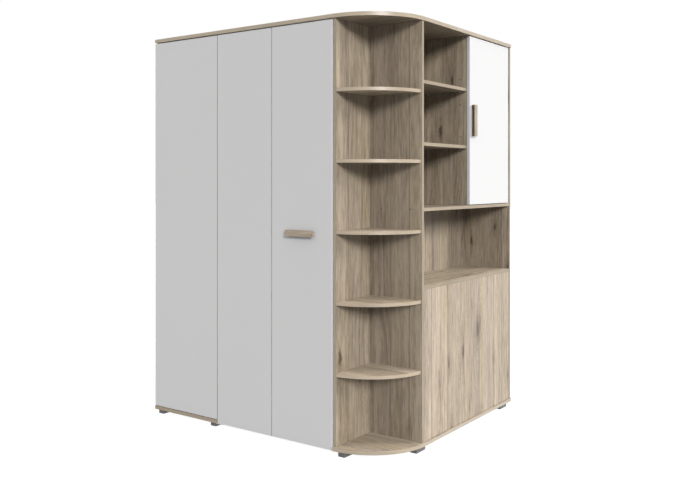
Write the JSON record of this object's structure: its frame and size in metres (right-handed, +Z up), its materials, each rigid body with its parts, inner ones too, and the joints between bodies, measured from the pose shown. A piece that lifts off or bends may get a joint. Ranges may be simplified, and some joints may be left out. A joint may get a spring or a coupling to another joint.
{
  "type": "corner wardrobe",
  "caption": "Walk-in corner wardrobe with a folding door, round open shelves at the outer corner, and a bookcase side with a desk niche and a small cupboard.",
  "frame": {"origin": "middle of the footprint box, handles included, on the floor", "axes": "+Z up; +Y from the folding door front towards the rear wall; +X to the right along the folding door front, which is out of the bookcase front"},
  "size_m": [1.484, 1.264, 1.98],
  "materials": {
    "oak_decor": "matt oak decor on chipboard, with matching edge bands",
    "white_decor": "smooth matt white decor on chipboard",
    "hardboard": "thin back board with a printed oak face",
    "handle_decor": "flat bar with an oak finish on a darker neck",
    "dark_plastic": "moulded dark grey plastic",
    "grey_plastic": "moulded grey plastic",
    "steel": "zinc plated or nickel plated steel",
    "aluminium": "plain drawn aluminium"
  },
  "bodies": {
    "carcass": {"top_board": "oak_decor", "bay_bottom_board": "oak_decor", "bookcase_bottom_board": "oak_decor", "foot_1": "dark_plastic", "foot_2": "dark_plastic", "foot_3": "dark_plastic", "foot_4": "dark_plastic", "foot_5": "dark_plastic", "foot_6": "dark_plastic", "foot_7": "dark_plastic", "foot_8": "dark_plastic", "foot_9": "dark_plastic", "bay_front_side": "oak_decor", "bay_divider": "oak_decor", "bay_rear_side": "oak_decor", "bay_back_panel": "hardboard", "white_front_panel": "white_decor", "hat_shelf": "oak_decor", "linen_shelf_1": "oak_decor", "linen_shelf_2": "oak_decor", "linen_shelf_3": "oak_decor", "clothes_rail": "steel", "rail_socket_front": "grey_plastic", "rail_socket_rear": "grey_plastic", "jamb_panel": "oak_decor", "round_shelf_1": "oak_decor", "round_shelf_2": "oak_decor", "round_shelf_3": "oak_decor", "round_shelf_4": "oak_decor", "round_shelf_5": "oak_decor", "bookcase_left_side": "oak_decor", "bookcase_right_side": "oak_decor", "bookcase_divider": "oak_decor", "middle_shelf": "oak_decor", "desk_board": "oak_decor", "lower_shelf": "oak_decor", "lower_front_panel": "oak_decor", "bookcase_back_panel": "hardboard", "open_shelf_1": "oak_decor", "open_shelf_2": "oak_decor", "cupboard_shelf": "oak_decor", "guide_track": "aluminium", "top_pivot_bush": "grey_plastic", "floor_pivot_plate": "steel"},
    "left_leaf": {"door_leaf_left": "white_decor", "leaf_pivot_pin_top": "steel", "leaf_pivot_pin_bottom": "steel", "fold_hinge_1_left": "steel", "fold_hinge_2_left": "steel", "fold_hinge_3_left": "steel"},
    "right_leaf": {"door_leaf_right": "white_decor", "door_handle": "handle_decor", "guide_pin": "grey_plastic", "fold_hinge_1_right": "steel", "fold_hinge_2_right": "steel", "fold_hinge_3_right": "steel"},
    "cupboard_front": {"cupboard_door": "white_decor", "cupboard_handle": "handle_decor", "cupboard_pivot_pin_top": "steel", "cupboard_pivot_pin_bottom": "steel"}
  },
  "joints": [
    {"name": "door_swing", "type": "hinge", "parent": "carcass", "child": "left_leaf", "pos_m": [-0.2568, -0.602, 0.989], "axis": [0, 0, -1], "range_deg": [0, 85]},
    {"name": "door_fold", "type": "hinge", "parent": "left_leaf", "child": "right_leaf", "pos_m": [0.0675, -0.593, 0.989], "axis": [0, 0, 1], "range_deg": [0, 170]},
    {"name": "cupboard_swing", "type": "hinge", "parent": "carcass", "child": "cupboard_front", "pos_m": [0.714, 0.6, 1.535], "axis": [0, 0, 1], "range_deg": [0, 100]}
  ],
  "couplings": [
    {"joint": "door_fold", "follows": "door_swing", "ratio": 2}
  ]
}
